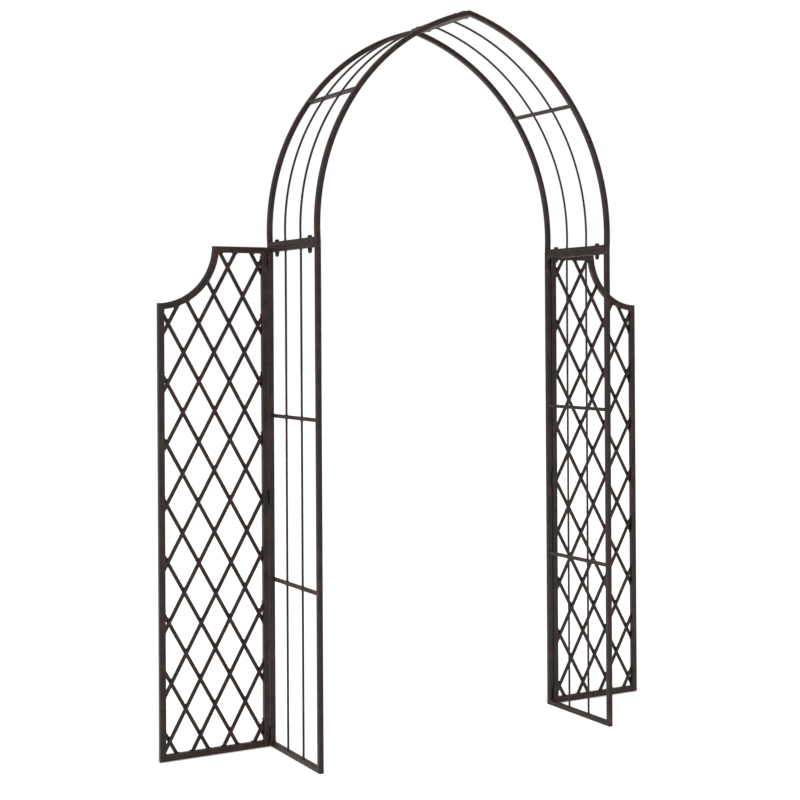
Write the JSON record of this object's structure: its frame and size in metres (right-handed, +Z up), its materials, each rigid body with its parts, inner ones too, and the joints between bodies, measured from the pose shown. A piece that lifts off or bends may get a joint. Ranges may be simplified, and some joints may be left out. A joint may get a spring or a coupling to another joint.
{
  "type": "garden trellis arch",
  "caption": "Pointed metal garden arch on two ladder-like side panels, with a diamond-lattice wing hinged to the rear of each side.",
  "frame": {"origin": "on the ground, at the middle of the arch's footprint", "axes": "+X across the walkway to the right, +Y through the arch from the front to the rear, where the wings are, +Z up"},
  "size_m": [1.843, 0.363, 2.35],
  "materials": {
    "frame_tube": "antique brown powder coat, slightly uneven, satin",
    "rod": "antique brown powder coat, satin",
    "lattice": "antique brown powder coat, satin",
    "hinge": "antique brown powder coat over welded hinges",
    "hinge_pin": "painted over with the hinges",
    "fastener": "black-brown coated screws and cap nuts"
  },
  "bodies": {
    "arch": {"left_leg_rear_post": "frame_tube", "left_leg_front_post": "frame_tube", "left_leg_top_rail": "frame_tube", "left_leg_upper_rail": "frame_tube", "left_leg_lower_rail": "frame_tube", "left_leg_bottom_rail": "frame_tube", "left_leg_rods": "rod", "left_arch_front_tube": "frame_tube", "left_arch_rear_tube": "frame_tube", "left_arch_spring_rail": "frame_tube", "left_arch_mid_rail": "frame_tube", "left_arch_ridge_rail": "frame_tube", "left_arch_rods": "rod", "left_hinge_leg_halves": "hinge", "left_hinge_pins": "hinge_pin", "right_leg_rear_post": "frame_tube", "right_leg_front_post": "frame_tube", "right_leg_top_rail": "frame_tube", "right_leg_upper_rail": "frame_tube", "right_leg_lower_rail": "frame_tube", "right_leg_bottom_rail": "frame_tube", "right_leg_rods": "rod", "right_arch_front_tube": "frame_tube", "right_arch_rear_tube": "frame_tube", "right_arch_spring_rail": "frame_tube", "right_arch_mid_rail": "frame_tube", "right_arch_ridge_rail": "frame_tube", "right_arch_rods": "rod", "right_hinge_leg_halves": "hinge", "right_hinge_pins": "hinge_pin", "springing_bolts": "fastener", "springing_washers": "fastener", "springing_cap_nuts": "fastener", "ridge_bolts": "fastener", "ridge_washers": "fastener", "ridge_cap_nuts": "fastener"},
    "left_wing": {"left_wing_inner_post": "frame_tube", "left_wing_outer_post": "frame_tube", "left_wing_bottom_rail": "frame_tube", "left_wing_top_rail": "frame_tube", "left_wing_scoop_tube": "frame_tube", "left_wing_lattice_rising": "lattice", "left_wing_lattice_falling": "lattice", "left_hinge_wing_halves": "hinge"},
    "right_wing": {"right_wing_inner_post": "frame_tube", "right_wing_outer_post": "frame_tube", "right_wing_bottom_rail": "frame_tube", "right_wing_top_rail": "frame_tube", "right_wing_scoop_tube": "frame_tube", "right_wing_lattice_rising": "lattice", "right_wing_lattice_falling": "lattice", "right_hinge_wing_halves": "hinge"}
  },
  "joints": [
    {"name": "left_wing_swing", "type": "hinge", "parent": "arch", "child": "left_wing", "pos_m": [-0.5495, 0.162, 0], "axis": [0, 0, 1], "range_deg": [0, 90]},
    {"name": "right_wing_swing", "type": "hinge", "parent": "arch", "child": "right_wing", "pos_m": [0.5495, 0.162, 0], "axis": [0, 0, -1], "range_deg": [0, 90]}
  ]
}
